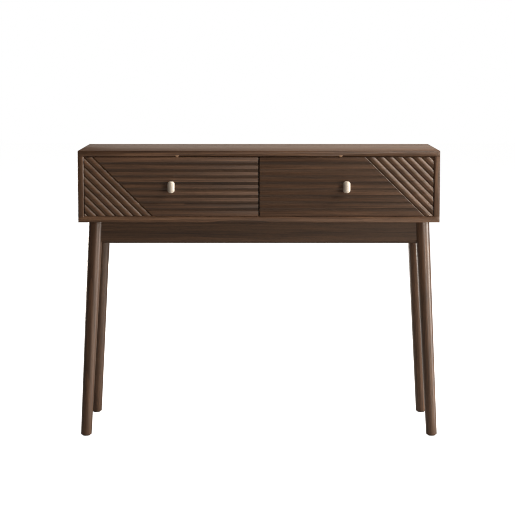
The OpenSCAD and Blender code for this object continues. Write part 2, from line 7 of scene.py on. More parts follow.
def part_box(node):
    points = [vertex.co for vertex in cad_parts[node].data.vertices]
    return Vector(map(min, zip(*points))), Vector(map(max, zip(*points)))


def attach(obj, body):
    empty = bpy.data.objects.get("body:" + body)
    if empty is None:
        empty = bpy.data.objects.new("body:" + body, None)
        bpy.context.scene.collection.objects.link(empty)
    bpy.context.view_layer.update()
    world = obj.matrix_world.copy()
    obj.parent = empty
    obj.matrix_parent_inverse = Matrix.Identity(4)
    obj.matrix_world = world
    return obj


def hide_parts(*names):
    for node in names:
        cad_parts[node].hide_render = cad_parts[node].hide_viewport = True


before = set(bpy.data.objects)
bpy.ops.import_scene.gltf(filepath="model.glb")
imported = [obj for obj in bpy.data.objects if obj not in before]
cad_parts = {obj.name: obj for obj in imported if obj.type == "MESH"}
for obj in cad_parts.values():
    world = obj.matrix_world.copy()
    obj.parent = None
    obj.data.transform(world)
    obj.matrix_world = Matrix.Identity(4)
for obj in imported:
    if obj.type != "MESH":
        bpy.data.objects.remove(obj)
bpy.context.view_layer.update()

scene = bpy.context.scene
scene.view_settings.view_transform = "Standard"
scene.cycles.filter_width = 1.0

# Camera. A long lens from a little above the table top, straight in front of it. The slight tilt and
# the small shift together set the table low in the frame.
def in_scene(name, data):
    made = bpy.data.objects.new(name, data)
    scene.collection.objects.link(made)
    return made


camera = in_scene("camera", bpy.data.cameras.new("camera"))
camera.data.lens = 121.9
camera.data.sensor_width = 36
camera.data.shift_y = -0.08
camera.location = (-0.0039, -4.9638, 1.0822)
camera.rotation_euler = (math.radians(90 - 5.511), 0, 0)
scene.camera = camera

# Case: five panels of 16 mm board under walnut veneer, with a strip of the same on each edge, cut
# square and glued up on dowels. A 2 mm chamfer runs round the front opening, and the arrises are eased.
MM = 0.001
CHAMFER = 2 * MM
ARRIS = 0.6 * MM
CUT_PAST = 1 * MM
BROAD_FACE = 0.001
EDGE_FACING = 0.6
WELD = 1e-6
GRAIN_TURN = {"x": (0, 0, 0), "y": (0, 0, -math.pi / 2), "z": (0, math.pi / 2, 0)}


# A colour written as sRGB hex, turned to linear.
def linear(hex_colour):
    parts = [int(hex_colour[i:i + 2], 16) / 255 for i in (1, 3, 5)]
    return [p / 12.92 if p <= 0.04045 else ((p + 0.055) / 1.055) ** 2.4 for p in parts] + [1.0]


# Adds one node: settings are its properties, inputs its sockets, each given a value or another socket.
def add(tree, kind, inputs=None, **settings):
    node = tree.nodes.new(kind)
    for name, value in settings.items():
        setattr(node, name, value)
    for key, value in (inputs or {}).items():
        if isinstance(value, bpy.types.NodeSocket):
            tree.links.new(value, node.inputs[key])
        else:
            node.inputs[key].default_value = value
    return node


# Sets a ramp's tones from dark to light, at the given places along it.
def set_tones(ramp, places, tones):
    stops = ramp.color_ramp.elements
    for stop, place, tone in ((stops[0], places[0], tones[0]), (stops[1], places[-1], tones[-1])):
        stop.position = place
        stop.color = linear(tone)
    for place, tone in zip(places[1:-1], tones[1:-1]):
        stops.new(place).color = linear(tone)


def new_material(name):
    material = bpy.data.materials.new(name)
    material.use_nodes = True
    material.node_tree.nodes.clear()
    return material, material.node_tree


# Noise drawn out along one axis: its grains are about length by width, in millimetres.
def grained(tree, vector, length, width, detail=2.0, rough=0.55):
    scale = (1000 / length, 1000 / width, 1000 / width)
    scaled = add(tree, "ShaderNodeVectorMath", {0: vector, 1: scale}, operation="MULTIPLY").outputs[0]
    return add(tree, "ShaderNodeTexNoise", {
        "Vector": scaled, "Scale": 1.0, "Detail": detail, "Roughness": rough}).outputs


# Lays the piece's grain along the pattern's X, and moves the pattern so that no two pieces match.
def along_grain(tree, grain, shift):
    here = add(tree, "ShaderNodeTexCoord").outputs["Object"]
    return add(tree, "ShaderNodeMapping", {
        "Vector": here, "Location": shift, "Rotation": GRAIN_TURN[grain]}).outputs[0]


HEART = (0.42, 0.36)


# Walnut under satin lacquer. Growth rings round a heart some way off give long dark lines, each dark at
# one edge and fading at the other; slow bands, fine fibres and short open pores lie over them. The
# pores and fibres also break up the gloss.
def walnut(name, grain, shift, tones, ring=18, contrast=1.0, roughness=0.42, coat=0.12, wander=28):
    material, tree = new_material(name)
    along = along_grain(tree, grain, shift)
    sway = grained(tree, along, 520, 70, 2)["Color"]
    centred = add(tree, "ShaderNodeVectorMath", {
        0: sway, 1: (0.5, 0.5, 0.5)}, operation="SUBTRACT").outputs[0]
    swing = add(tree, "ShaderNodeVectorMath", {
        0: centred, 1: (0, wander * MM, wander * MM)}, operation="MULTIPLY").outputs[0]
    fibres = add(tree, "ShaderNodeVectorMath", {0: along, 1: swing}, operation="ADD").outputs[0]
    from_heart = add(tree, "ShaderNodeVectorMath", {
        0: fibres, 1: (0, HEART[0] + shift[1], HEART[1] + shift[2])}, operation="SUBTRACT").outputs[0]
    flat = add(tree, "ShaderNodeVectorMath", {
        0: from_heart, 1: (0.02, 1, 1)}, operation="MULTIPLY").outputs[0]
    reach = add(tree, "ShaderNodeVectorMath", {0: flat}, operation="LENGTH").outputs["Value"]
    years = add(tree, "ShaderNodeMath", {0: reach, 1: 1000 / ring}, operation="MULTIPLY").outputs[0]
    year = add(tree, "ShaderNodeMath", {0: years}, operation="FRACT").outputs[0]
    late = add(tree, "ShaderNodeMath", {0: year, 1: 3.4}, operation="POWER").outputs[0]
    strength = add(tree, "ShaderNodeMath", {
        0: grained(tree, fibres, 500, 26, 1)["Fac"], 1: 1.6, 2: -0.2}, operation="MULTIPLY_ADD").outputs[0]
    rings = add(tree, "ShaderNodeMath", {0: late, 1: strength}, operation="MULTIPLY").outputs[0]
    bands = grained(tree, fibres, 900, 34, 2)["Fac"]
    streaks = grained(tree, fibres, 420, 6.5, 3, 0.6)["Fac"]
    fine = grained(tree, fibres, 160, 2.2, 2, 0.6)["Fac"]
    pores = grained(tree, fibres, 12, 0.8, 1)["Fac"]

    figure = 0.5 - 0.995 * contrast
    for source, weight in ((rings, -0.42), (bands, 0.5), (streaks, 0.7), (fine, 0.95)):
        figure = add(tree, "ShaderNodeMath", {
            0: source, 1: weight * contrast, 2: figure}, operation="MULTIPLY_ADD").outputs[0]
    ramp = add(tree, "ShaderNodeValToRGB", {"Fac": figure})
    set_tones(ramp, (0.1, 0.33, 0.52, 0.7, 0.9), tones)
    specks = add(tree, "ShaderNodeMapRange", {
        "Value": pores, "From Min": 0.34, "From Max": 0.44, "To Min": 0.72, "To Max": 1.0}).outputs[0]
    colour = add(tree, "ShaderNodeMix", {
        0: 1.0, 6: ramp.outputs["Color"], 7: specks}, data_type="RGBA", blend_type="MULTIPLY").outputs[2]
    gloss = add(tree, "ShaderNodeMapRange", {
        "Value": fine, "From Min": 0.35, "From Max": 0.65,
        "To Min": roughness + 0.06, "To Max": roughness - 0.05}).outputs[0]
    relief = add(tree, "ShaderNodeMath", {0: fine, 1: pores}, operation="ADD").outputs[0]
    bump = add(tree, "ShaderNodeBump", {"Height": relief, "Strength": 0.2, "Distance": 0.0003}).outputs[0]
    surface = add(tree, "ShaderNodeBsdfPrincipled", {
        "Base Color": colour, "Roughness": gloss, "Normal": bump, "IOR": 1.5,
        "Coat Weight": coat, "Coat Roughness": 0.3})
    add(tree, "ShaderNodeOutputMaterial", {"Surface": surface.outputs[0]})
    return material


VENEER = ("#1e130b", "#3b291b", "#573e2b", "#70533d", "#8f6e52")


# A closed box mesh between two corners.
def box_mesh(name, low, high):
    form = bmesh.new()
    low, high = Vector(low), Vector(high)
    place = Matrix.Translation((low + high) / 2) @ Matrix.Diagonal((*(high - low), 1))
    bmesh.ops.create_cube(form, size=1, matrix=place)
    return mesh_from(form, name)


def mesh_from(form, name):
    bmesh.ops.recalc_face_normals(form, faces=form.faces)
    mesh = bpy.data.meshes.new(name)
    form.to_mesh(mesh)
    form.free()
    return mesh


# A straight bar along X or Y, of one outline given in the two other axes.
def bar_mesh(name, axis, start, end, outline):
    turn = {"x": lambda t, a, b: (t, a, b), "y": lambda t, a, b: (a, t, b)}[axis]
    form = bmesh.new()
    near = [form.verts.new(turn(start, a, b)) for a, b in outline]
    far = [form.verts.new(turn(end, a, b)) for a, b in outline]
    form.faces.new(near)
    form.faces.new(far)
    for i in range(len(outline)):
        j = (i + 1) % len(outline)
        form.faces.new((near[i], near[j], far[j], far[i]))
    return mesh_from(form, name)


# Curved and bevelled faces shade smoothly up to a given angle; broad flat ones stay flat.
def shade(mesh, degrees):
    for polygon in mesh.polygons:
        polygon.use_smooth = polygon.area < BROAD_FACE
    mesh.set_sharp_from_angle(angle=math.radians(degrees))


# Makes the blank a finished piece: each cutter is taken away, each joined solid added, then the arrises
# are eased.
def finished(name, blank, cutters=(), joined=(), ease=ARRIS, turns=2, sharp=35):
    piece = in_scene(name, blank)
    tools = []
    for other, how in [(mesh, "DIFFERENCE") for mesh in cutters] + [(mesh, "UNION") for mesh in joined]:
        tool = in_scene("tool", other)
        tools.append(tool)
        cut = piece.modifiers.new("cut", "BOOLEAN")
        cut.operation = how
        cut.solver = "EXACT"
        cut.object = tool
    if ease:
        edge = piece.modifiers.new("ease", "BEVEL")
        edge.width = ease
        edge.segments = turns
        edge.limit_method = "ANGLE"
        edge.angle_limit = math.radians(30)
    depsgraph = bpy.context.evaluated_depsgraph_get()
    result = bpy.data.meshes.new_from_object(piece.evaluated_get(depsgraph))
    piece.modifiers.clear()
    piece.data = result
    for tool in tools:
        bpy.data.objects.remove(tool)
    shade(result, sharp)
    return piece


# Puts a piece on its body in place of its CAD node, with its finish; pick says which face gets which.
def fit_piece(piece, body, slot, finishes, *nodes, pick=None):
    piece.data.materials.clear()
    for finish in finishes:
        piece.data.materials.append(finish)
    if pick:
        for polygon in piece.data.polygons:
            polygon.material_index = pick(polygon)
    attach(piece, body)
    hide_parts(*nodes)


top_low, top_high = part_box("top_panel")
bottom_low, bottom_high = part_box("bottom_panel")
side_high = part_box("left_side_panel")[1]
back_low, back_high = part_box("back_panel")
front_y, back_y = top_low.y, top_high.y
open_x = -side_high.x
open_z0, open_z1 = bottom_high.z, top_low.z


# The wedge all round the opening: a frustum from the front face in to the opening itself.
def opening_frustum():
    form = bmesh.new()
    rings = []
    for y, wider in ((front_y - CUT_PAST, CHAMFER + CUT_PAST), (front_y + CHAMFER, 0)):
        corners = ((-1, open_z0 - wider), (1, open_z0 - wider), (1, open_z1 + wider), (-1, open_z1 + wider))
        rings.append([form.verts.new((side * (open_x + wider), y, z)) for side, z in corners])
    form.faces.new(rings[0])
    form.faces.new(rings[1])
    for i in range(4):
        j = (i + 1) % 4
        form.faces.new((rings[0][j], rings[0][i], rings[1][i], rings[1][j]))
    return mesh_from(form, "opening_frustum")


def back_rebate():
    gap = 0.3 * MM
    return box_mesh("rebate", (back_low.x - gap, back_low.y, back_low.z - gap),
                    (back_high.x + gap, back_y + CUT_PAST, back_high.z + gap))


# Kicker pads: small stained beech wedges pressed into the top panel's lower front edge, one over each
# drawer, narrow side down. They stop a half-open drawer from tipping.
pads_low, pads_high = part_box("kicker_pads")
PAD_HALF_TOP = 6 * MM
PAD_HALF_FOOT = 2 * MM
PAD_CLEARANCE = 0.05 * MM
pad_x = pads_high.x - PAD_HALF_TOP


def pad_outline(x, wider=0.0):
    foot, top = PAD_HALF_FOOT + wider, PAD_HALF_TOP + wider
    low, high = pads_low.z - wider, pads_high.z + wider
    return [(x - foot, low), (x + foot, low), (x + top, high), (x - top, high)]


pad_notches = [bar_mesh("notch", "y", pads_low.y - CUT_PAST, pads_high.y, pad_outline(x, PAD_CLEARANCE))
               for x in (-pad_x, pad_x)]
stained_beech = walnut("stained_beech_pads", "x", (0.4, 0, 0), (
    "#7a5d47", "#8c6d54", "#9a7a60", "#a5866b", "#ae9076"), ring=4, contrast=0.5)
for hand, x in (("left", -pad_x), ("right", pad_x)):
    wedge = finished(f"{hand}_kicker_pad", bar_mesh("pad", "y", pads_low.y, pads_high.y, pad_outline(x)),
                     ease=0.3 * MM)
    fit_piece(wedge, "table", "beech", [stained_beech], "kicker_pads")

for name, low, high, shift, notches in (("top", top_low, top_high, (0.3, 1.7, 0.2), pad_notches),
                                        ("bottom", bottom_low, bottom_high, (2.3, 0.4, 1.2), [])):
    panel = finished(f"walnut_{name}", box_mesh(name, low, high),
                     [opening_frustum(), back_rebate()] + notches)
    fit_piece(panel, "table", "walnut_veneer", [
        walnut(f"walnut_veneer_{name}", "x", shift, VENEER, contrast=0.7)], f"{name}_panel")
side_face = walnut("walnut_veneer_sides", "y", (0.7, 3.1, 2.2), VENEER, contrast=0.9)
side_edge = walnut("walnut_veneer_edge_strip", "z", (1.7, 2.1, 0.2), VENEER, ring=9, contrast=0.7)
for hand in ("left", "right"):
    low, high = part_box(f"{hand}_side_panel")
    panel = finished(f"walnut_{hand}_side", box_mesh(hand, low, high), [opening_frustum(), back_rebate()])
    fit_piece(panel, "table", "walnut_veneer", [side_face, side_edge], f"{hand}_side_panel",
              pick=lambda polygon: int(abs(polygon.normal.y) > EDGE_FACING))


# Copies a CAD node's mesh, joins its loose triangles, and eases its arrises.
def softened(node, name, ease=0.5 * MM, turns=2, sharp=35):
    form = bmesh.new()
    form.from_mesh(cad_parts[node].data)
    bmesh.ops.remove_doubles(form, verts=form.verts, dist=WELD)
    bmesh.ops.dissolve_limit(form, angle_limit=math.radians(1), verts=form.verts, edges=form.edges)
    return finished(name, mesh_from(form, name), ease=ease, turns=turns, sharp=sharp)


# Divider and back: the divider is a plain veneered board between the two drawers; the back is a 5 mm
# fibreboard sheet printed in brown, screwed into a rebate all round.
fit_piece(softened("centre_divider", "walnut_divider"), "table", "walnut_veneer", [
    walnut("walnut_veneer_divider", "y", (3.1, 1.3, 0.7), VENEER, contrast=0.8)], "centre_divider")


# Printed fibreboard: a dull, even brown with a faint printed grain and a fine pressed texture.
def printed_board():
    material, tree = new_material("printed_fibreboard")
    along = along_grain(tree, "x", (0.9, 0.2, 0.6))
    ramp = add(tree, "ShaderNodeValToRGB", {"Fac": grained(tree, along, 300, 5, 3)["Fac"]})
    set_tones(ramp, (0.3, 0.7), ("#4a3628", "#6a5140"))
    press = grained(tree, along, 1.5, 1.5, 2)["Fac"]
    bump = add(tree, "ShaderNodeBump", {"Height": press, "Strength": 0.3, "Distance": 0.0002}).outputs[0]
    surface = add(tree, "ShaderNodeBsdfPrincipled", {
        "Base Color": ramp.outputs["Color"], "Roughness": 0.62, "Normal": bump, "IOR": 1.48})
    add(tree, "ShaderNodeOutputMaterial", {"Surface": surface.outputs[0]})
    return material


fit_piece(softened("back_panel", "fibreboard_back", ease=0.3 * MM), "table", "back_board", [
    printed_board()], "back_panel")


# Wood screws: drawn steel with a rolled shank and a cross recess punched in the head. Flat heads sink
# flush in the slides, fronts and back; low round heads stand on the brackets and corner blocks.
SCREW_AROUND = 24
SCREW_TIP = 0.1 * MM
POINT_RADII = 2.2
SLOT_WIDTH = 0.28
SLOT_DEPTH = 0.9


# Steel as it comes from a zinc bath: a cool mid grey, a little patchy, with a soft even shine.
def zinc_plated():
    material, tree = new_material("zinc_plated_steel")
    here = add(tree, "ShaderNodeTexCoord").outputs["Object"]
    patches = add(tree, "ShaderNodeTexNoise", {"Vector": here, "Scale": 160.0, "Detail": 3.0}).outputs["Fac"]
    colour = add(tree, "ShaderNodeValToRGB", {"Fac": patches})
    set_tones(colour, (0.3, 0.7), ("#a4a9ab", "#c9cccb"))
    dull = add(tree, "ShaderNodeMapRange", {
        "Value": patches, "From Min": 0.3, "From Max": 0.7, "To Min": 0.42, "To Max": 0.3}).outputs[0]
    surface = add(tree, "ShaderNodeBsdfPrincipled", {
        "Base Color": colour.outputs["Color"], "Metallic": 1.0, "Roughness": dull})
    add(tree, "ShaderNodeOutputMaterial", {"Surface": surface.outputs[0]})
    return material


zinc = zinc_plated()


# The tree makes one screw from its sizes, head at the origin and point along Z, and sets it on each point.
# The recess is two crossed slots, each about a quarter as wide as it is long.
def screw_tree():
    tree = bpy.data.node_groups.new("wood_screws", "GeometryNodeTree")
    tree.interface.new_socket("Seats", in_out="INPUT", socket_type="NodeSocketGeometry")
    for size in ("Crown Radius", "Crown Height", "Head Radius", "Head Height", "Under Radius",
                 "Shank Radius", "Length", "Recess"):
        tree.interface.new_socket(size, in_out="INPUT", socket_type="NodeSocketFloat")
    tree.interface.new_socket("Finish", in_out="INPUT", socket_type="NodeSocketMaterial")
    tree.interface.new_socket("Screws", in_out="OUTPUT", socket_type="NodeSocketGeometry")
    given = add(tree, "NodeGroupInput").outputs

    def frustum(near, far, start, depth):
        cone = add(tree, "GeometryNodeMeshCone", {
            "Vertices": SCREW_AROUND, "Radius Bottom": near, "Radius Top": far,
            "Depth": depth}).outputs["Mesh"]
        lift = add(tree, "ShaderNodeCombineXYZ", {"Z": start}).outputs[0]
        return add(tree, "GeometryNodeTransform", {"Geometry": cone, "Translation": lift}).outputs[0]

    crown = frustum(given["Crown Radius"], given["Head Radius"], 0.0, given["Crown Height"])
    below = add(tree, "ShaderNodeMath", {
        0: given["Head Height"], 1: given["Crown Height"]}, operation="SUBTRACT").outputs[0]
    collar = frustum(given["Head Radius"], given["Under Radius"], given["Crown Height"], below)
    point_start = add(tree, "ShaderNodeMath", {
        0: given["Shank Radius"], 1: -POINT_RADII, 2: given["Length"]}, operation="MULTIPLY_ADD").outputs[0]
    half_head = add(tree, "ShaderNodeMath", {
        0: given["Head Height"], 1: 0.5}, operation="MULTIPLY").outputs[0]
    shank_length = add(tree, "ShaderNodeMath", {
        0: point_start, 1: half_head}, operation="SUBTRACT").outputs[0]
    shank = frustum(given["Shank Radius"], given["Shank Radius"], half_head, shank_length)
    point_length = add(tree, "ShaderNodeMath", {
        0: given["Length"], 1: point_start}, operation="SUBTRACT").outputs[0]
    point = frustum(given["Shank Radius"], SCREW_TIP, point_start, point_length)
    whole = add(tree, "GeometryNodeMeshBoolean", operation="UNION", solver="EXACT")
    for solid in (crown, collar, shank, point):
        tree.links.new(solid, whole.inputs["Mesh 2"])
    wing = add(tree, "ShaderNodeMath", {0: given["Recess"], 1: SLOT_WIDTH}, operation="MULTIPLY").outputs[0]
    deep = add(tree, "ShaderNodeMath", {0: given["Recess"], 1: SLOT_DEPTH}, operation="MULTIPLY").outputs[0]
    slots = []
    for sizes in ({"X": given["Recess"], "Y": wing, "Z": deep}, {"X": wing, "Y": given["Recess"], "Z": deep}):
        size = add(tree, "ShaderNodeCombineXYZ", sizes).outputs[0]
        slots.append(add(tree, "GeometryNodeMeshCube", {"Size": size}).outputs["Mesh"])
    punched = add(tree, "GeometryNodeMeshBoolean", {"Mesh 1": whole.outputs["Mesh"]},
                  operation="DIFFERENCE", solver="EXACT")
    for slot in slots:
        tree.links.new(slot, punched.inputs["Mesh 2"])
    drive = add(tree, "GeometryNodeInputNamedAttribute", {"Name": "drive"}, data_type="FLOAT_VECTOR")
    facing = add(tree, "FunctionNodeAlignRotationToVector", {
        "Vector": drive.outputs["Attribute"]}, axis="Z").outputs[0]
    turned = add(tree, "FunctionNodeRandomValue", {"Min": (0, 0, 0), "Max": (0, 0, 1.57), "Seed": 7},
                 data_type="FLOAT_VECTOR").outputs[0]
    spin = add(tree, "FunctionNodeEulerToRotation", {0: turned}).outputs[0]
    way = add(tree, "FunctionNodeRotateRotation", {
        "Rotation": facing, "Rotate By": spin}, rotation_space="LOCAL").outputs[0]
    seats = add(tree, "GeometryNodeMeshToPoints", {"Mesh": given["Seats"]}).outputs[0]
    set_in = add(tree, "GeometryNodeInstanceOnPoints", {
        "Points": seats, "Instance": punched.outputs["Mesh"], "Rotation": way}).outputs[0]
    real = add(tree, "GeometryNodeRealizeInstances", {"Geometry": set_in}).outputs[0]
    done = add(tree, "GeometryNodeSetMaterial", {"Geometry": real, "Material": given["Finish"]}).outputs[0]
    add(tree, "NodeGroupOutput", {"Screws": done})
    return tree


# Runs a tree on a piece with its named inputs, and makes the result the piece's plain mesh.
def grow(piece, tree, sharp=35, **values):
    modifier = piece.modifiers.new(tree.name, "NODES")
    modifier.node_group = tree
    for item in tree.interface.items_tree:
        key = item.name.lower().replace(" ", "_")
        if item.in_out == "INPUT" and key in values:
            modifier[item.identifier] = values[key]
    depsgraph = bpy.context.evaluated_depsgraph_get()
    result = bpy.data.meshes.new_from_object(piece.evaluated_get(depsgraph))
    piece.modifiers.remove(modifier)
    piece.data = result
    shade(result, sharp)


# Points with the way each screw is driven: the seats are read off the CAD node, one screw to each
# separate solid in it. The widest ring is at the head.
def screw_seats(node):
    form = bmesh.new()
    form.from_mesh(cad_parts[node].data)
    bmesh.ops.remove_doubles(form, verts=form.verts, dist=WELD)
    left = set(form.verts)
    seats = []
    while left:
        grown = [left.pop()]
        island = []
        while grown:
            vert = grown.pop()
            island.append(vert.co.copy())
            for edge in vert.link_edges:
                other = edge.other_vert(vert)
                if other in left:
                    left.remove(other)
                    grown.append(other)
        low = Vector([min(c[i] for c in island) for i in range(3)])
        high = Vector([max(c[i] for c in island) for i in range(3)])
        size, centre = high - low, (low + high) / 2
        axis = max(range(3), key=lambda i: size[i])
        across = [i for i in range(3) if i != axis]
        widest = max(island, key=lambda c: sum((c[i] - centre[i]) ** 2 for i in across))
        way = Vector((0, 0, 0))
        way[axis] = -1 if widest[axis] > centre[axis] else 1
        seats.append((centre - way * size[axis] / 2, way, size[axis]))
    form.free()
    return sorted(seats, key=lambda seat: tuple(round(c, 5) for c in seat[0]))


FLAT_HEAD = {"crown_radius": 2.8 * MM, "crown_height": 0.15 * MM, "head_radius": 3 * MM,
             "head_height": 1.2 * MM, "under_radius": 1.75 * MM, "shank_radius": 1.75 * MM, "recess": 3 * MM}
PAN_HEAD = {"crown_radius": 2.4 * MM, "crown_height": 1.3 * MM, "head_radius": 3.8 * MM,
            "head_height": 2.2 * MM, "under_radius": 3.7 * MM, "shank_radius": 1.75 * MM, "recess": 3.6 * MM}
KNOB_SCREW = {**PAN_HEAD, "shank_radius": 2 * MM}
wood_screws = screw_tree()


def drive_screws(node, body, kind):
    seats = screw_seats(node)
    mesh = bpy.data.meshes.new(node)
    mesh.from_pydata([seat[0] for seat in seats], [], [])
    ways = mesh.attributes.new("drive", "FLOAT_VECTOR", "POINT")
    for i, seat in enumerate(seats):
        ways.data[i].vector = seat[1]
    piece = in_scene(f"steel_{node}", mesh)
    grow(piece, wood_screws, length=seats[0][2], finish=zinc, **kind)
    fit_piece(piece, body, "zinc_steel", [zinc], node)


drive_screws("back_panel_screws", "table", FLAT_HEAD)

# Dowels: fluted beech pins, glued into the case and the drawer boxes, where nothing of them shows.
def beech_wood(name, grain):
    material, tree = new_material(name)
    along = along_grain(tree, grain, (0.2, 0.5, 0.1))
    ramp = add(tree, "ShaderNodeValToRGB", {"Fac": grained(tree, along, 60, 2, 3)["Fac"]})
    set_tones(ramp, (0.3, 0.7), ("#c49a6c", "#dcb88d"))
    surface = add(tree, "ShaderNodeBsdfPrincipled", {
        "Base Color": ramp.outputs["Color"], "Roughness": 0.6, "IOR": 1.5})
    add(tree, "ShaderNodeOutputMaterial", {"Surface": surface.outputs[0]})
    return material


# Gives a CAD node that stays in view its finish.
def finish_node(node, material):
    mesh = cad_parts[node].data
    mesh.materials.clear()
    mesh.materials.append(material)


finish_node("carcass_dowels", beech_wood("beech_case_dowels", "z"))
drawer_dowel_wood = beech_wood("beech_drawer_dowels", "x")
for hand in ("left", "right"):
    finish_node(f"{hand}_drawer_dowels", drawer_dowel_wood)

# Legs: turned from solid walnut, a straight taper from 40 mm at the case to 30 mm at the floor, leaning
# out alike to the side and to the front or back, with the foot's edge rounded over and lacquered.
case_z = bottom_low.z
LEG_TOP_R = 20.25 * MM
LEG_FOOT_R = 15 * MM
FOOT_ROUND = 2.2 * MM
TOP_INSET = 45 * MM
FOOT_INSET = 15.2 * MM
AROUND = 72
LEG_STEPS = 12
FOOT_STEPS = 5
solid_walnut = walnut("solid_walnut_legs", "z", (0.2, 0.9, 0.4), (
    "#22160d", "#3e2a1b", "#533b28", "#684b36", "#7f5e46"), ring=8, contrast=0.6, roughness=0.44, coat=0.35)
foot_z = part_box("front_left_leg")[0].z
CORNERS = (("front_left_leg", -1, -1), ("front_right_leg", 1, -1),
           ("rear_left_leg", -1, 1), ("rear_right_leg", 1, 1))


# Closes a stack of equal rings of points: faces between each two, and one over each end.
def close_rings(form, rings):
    for lower, upper in zip(rings, rings[1:]):
        for k in range(len(lower)):
            n = (k + 1) % len(lower)
            form.faces.new((lower[k], lower[n], upper[n], upper[k]))
    form.faces.new(rings[0])
    form.faces.new(rings[-1])


# A stack of level rings between two heights, whose centre leans with the height. A wider one is the
# cutter that scribes an apron, and has no rounded foot.
def leg_mesh(side, end, wider=0.0, low=foot_z, high=case_z):
    foot_round = 0.0 if wider else FOOT_ROUND
    turns = [] if wider else [math.pi / 2 * i / FOOT_STEPS for i in range(FOOT_STEPS)]
    levels = [(low + foot_round * (1 - math.cos(t)), foot_round * (1 - math.sin(t))) for t in turns]
    levels += [(low + foot_round + (high - low - foot_round) * i / LEG_STEPS, 0.0)
               for i in range(LEG_STEPS + 1)]
    face_y = front_y if end < 0 else back_y
    form = bmesh.new()
    rings = []
    for z, less in levels:
        share = z / case_z
        inset = FOOT_INSET + (TOP_INSET - FOOT_INSET) * share
        radius = LEG_FOOT_R + (LEG_TOP_R - LEG_FOOT_R) * share - less + wider
        x, y = side * (-top_low.x - inset), face_y - end * inset
        rings.append([form.verts.new((
            x + radius * math.cos(2 * math.pi * k / AROUND),
            y + radius * math.sin(2 * math.pi * k / AROUND), z)) for k in range(AROUND)])
    close_rings(form, rings)
    return mesh_from(form, "leg")


for name, side, end in CORNERS:
    leg = finished(f"turned_{name}", leg_mesh(side, end), ease=0)
    fit_piece(leg, "table", "walnut_legs", [solid_walnut], name)

# Aprons: four solid walnut rails under the case, each chamfered along its lower outer edge and scribed
# to the round legs at both ends.
APRON_CHAMFER = 8 * MM
APRON_EASE = 0.8 * MM
SCRIBE_GAP = 0.2 * MM
SCRIBE_PAST = 10 * MM
scribes = [(side, end) for _, side, end in CORNERS]
for name, axis, out in (("front_apron", "x", -1), ("rear_apron", "x", 1),
                        ("left_apron", "y", -1), ("right_apron", "y", 1)):
    low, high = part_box(name)
    across = (low.y, high.y) if axis == "x" else (low.x, high.x)
    outer, inner = across if out < 0 else across[::-1]
    outline = [(outer, high.z), (outer, low.z + APRON_CHAMFER), (outer - out * APRON_CHAMFER, low.z),
               (inner + out * APRON_EASE, low.z), (inner, low.z + APRON_EASE), (inner, high.z)]
    start, end = (low.x, high.x) if axis == "x" else (low.y, high.y)
    cutters = [leg_mesh(*scribe, wider=SCRIBE_GAP, low=low.z - SCRIBE_PAST, high=case_z + SCRIBE_PAST)
               for scribe in scribes]
    rail = finished(f"walnut_{name}", bar_mesh(name, axis, start, end, outline), cutters, ease=0)
    fit_piece(rail, "table", "walnut_veneer", [
        walnut(f"walnut_{name}", axis, (len(name) * 0.37, 0.3, 0.8), (
            "#1e130b", "#36251a", "#4b3625", "#5d4431", "#71543f"), contrast=0.6)], name)

# Corner blocks: birch plywood triangles glued and screwed into each corner of the aprons. The laminations
# show on their edges. A hanger bolt runs from each leg through its block, under a washer and a nut.
LAMINATION = 1.4 * MM


# Birch plywood: pale, fine-grained faces, and edges striped by glue lines and crossed layers, which lie
# along the board's thickness. The faces are one layer, so they show no stripes.
def birch_plywood(node, grain, through):
    low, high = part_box(node)
    axis = "xyz".index(through)
    middle, half = (low[axis] + high[axis]) / 2, (high[axis] - low[axis]) / 2
    name = f"birch_plywood_{node}"
    material, tree = new_material(name)
    here = add(tree, "ShaderNodeTexCoord").outputs["Object"]
    along = along_grain(tree, grain, (0.5, 0.1, 0.3))
    ramp = add(tree, "ShaderNodeValToRGB", {"Fac": grained(tree, along, 70, 3, 3)["Fac"]})
    set_tones(ramp, (0.3, 0.7), ("#c4a67b", "#dcc49c"))
    place = add(tree, "ShaderNodeSeparateXYZ", {0: here}).outputs[axis]
    past = add(tree, "ShaderNodeMath", {0: place, 1: middle}, operation="SUBTRACT").outputs[0]
    off = add(tree, "ShaderNodeMath", {0: past}, operation="ABSOLUTE").outputs[0]
    depth = add(tree, "ShaderNodeMath", {0: half, 1: off}, operation="SUBTRACT").outputs[0]
    layer = add(tree, "ShaderNodeMath", {0: depth, 1: LAMINATION}, operation="PINGPONG").outputs[0]
    stripe = add(tree, "ShaderNodeMapRange", {
        "Value": layer, "From Min": LAMINATION * 0.44, "From Max": LAMINATION * 0.56,
        "To Min": 1.0, "To Max": 0.62}).outputs[0]
    colour = add(tree, "ShaderNodeMix", {
        0: 1.0, 6: ramp.outputs["Color"], 7: stripe}, data_type="RGBA", blend_type="MULTIPLY").outputs[2]
    fibre = grained(tree, along, 20, 0.8, 2)["Fac"]
    bump = add(tree, "ShaderNodeBump", {"Height": fibre, "Strength": 0.2, "Distance": 0.0002}).outputs[0]
    surface = add(tree, "ShaderNodeBsdfPrincipled", {
        "Base Color": colour, "Roughness": 0.55, "Normal": bump, "IOR": 1.5})
    add(tree, "ShaderNodeOutputMaterial", {"Surface": surface.outputs[0]})
    return material


fit_piece(softened("corner_blocks", "plywood_corner_blocks", ease=0.8 * MM), "table", "birch_ply", [
    birch_plywood("corner_blocks", "x", "z")], "corner_blocks")
drive_screws("corner_block_screws", "table", PAN_HEAD)

